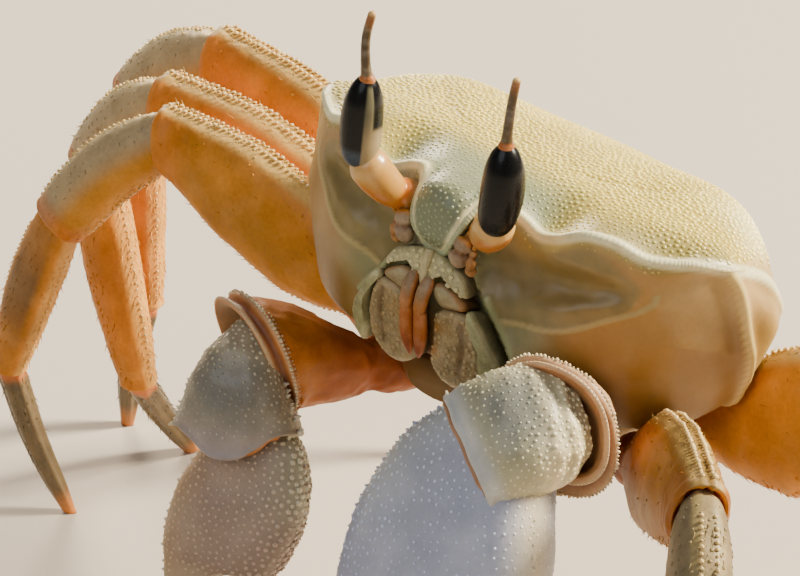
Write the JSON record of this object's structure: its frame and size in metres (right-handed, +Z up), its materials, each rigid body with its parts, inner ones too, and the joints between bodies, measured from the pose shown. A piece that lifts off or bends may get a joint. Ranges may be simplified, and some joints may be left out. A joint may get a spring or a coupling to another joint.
{
  "type": "ghost crab",
  "caption": "Life-size horned ghost crab standing on its walking legs, claws hanging, with a beaded square carapace and stalked, horn-tipped eyes.",
  "frame": {"origin": "on the floor under the middle of the whole stance's bounding box", "axes": "+Z up, the crab faces -Y, its left side is +X"},
  "size_m": [0.1119, 0.0716, 0.063],
  "materials": {
    "shell": "pale olive-cream, beaded, satin",
    "underside": "tan cream, satin",
    "mouthparts": "olive with orange palps, satin",
    "eyestalk": "peach orange, smooth",
    "cornea": "near black, glossy",
    "horn": "olive brown, satin",
    "claw_arm": "tan pink rims over orange",
    "claw_wrist": "cream olive, granular",
    "claw": "bluish white, granular",
    "leg": "orange, hairy upper edges",
    "leg_knee": "grey olive",
    "foot": "dark olive brown"
  },
  "bodies": {
    "root": {"abdomen": "underside", "antennule_left": "mouthparts", "antennule_right": "mouthparts", "carapace": "shell", "claw_carpus_left": "claw_wrist", "claw_carpus_right": "claw_wrist", "claw_finger_left": "claw", "claw_finger_right": "claw", "claw_merus_left": "claw_arm", "claw_merus_right": "claw_arm", "claw_palm_left": "claw", "claw_palm_right": "claw", "cornea_left": "cornea", "cornea_right": "cornea", "eyestalk_left": "eyestalk", "eyestalk_right": "eyestalk", "horn_left": "horn", "horn_right": "horn", "leg2_left_carpus": "leg_knee", "leg2_left_dactyl": "foot", "leg2_left_merus": "leg", "leg2_left_propodus": "leg", "leg2_right_carpus": "leg_knee", "leg2_right_dactyl": "foot", "leg2_right_merus": "leg", "leg2_right_propodus": "leg", "leg3_left_carpus": "leg_knee", "leg3_left_dactyl": "foot", "leg3_left_merus": "leg", "leg3_left_propodus": "leg", "leg3_right_carpus": "leg_knee", "leg3_right_dactyl": "foot", "leg3_right_merus": "leg", "leg3_right_propodus": "leg", "leg4_left_carpus": "leg_knee", "leg4_left_dactyl": "foot", "leg4_left_merus": "leg", "leg4_left_propodus": "leg", "leg4_right_carpus": "leg_knee", "leg4_right_dactyl": "foot", "leg4_right_merus": "leg", "leg4_right_propodus": "leg", "leg5_left_carpus": "leg_knee", "leg5_left_dactyl": "foot", "leg5_left_merus": "leg", "leg5_left_propodus": "leg", "leg5_right_carpus": "leg_knee", "leg5_right_dactyl": "foot", "leg5_right_merus": "leg", "leg5_right_propodus": "leg", "mouth_plate_left": "mouthparts", "mouth_plate_right": "mouthparts", "sternum": "underside"}
  },
  "joints": []
}
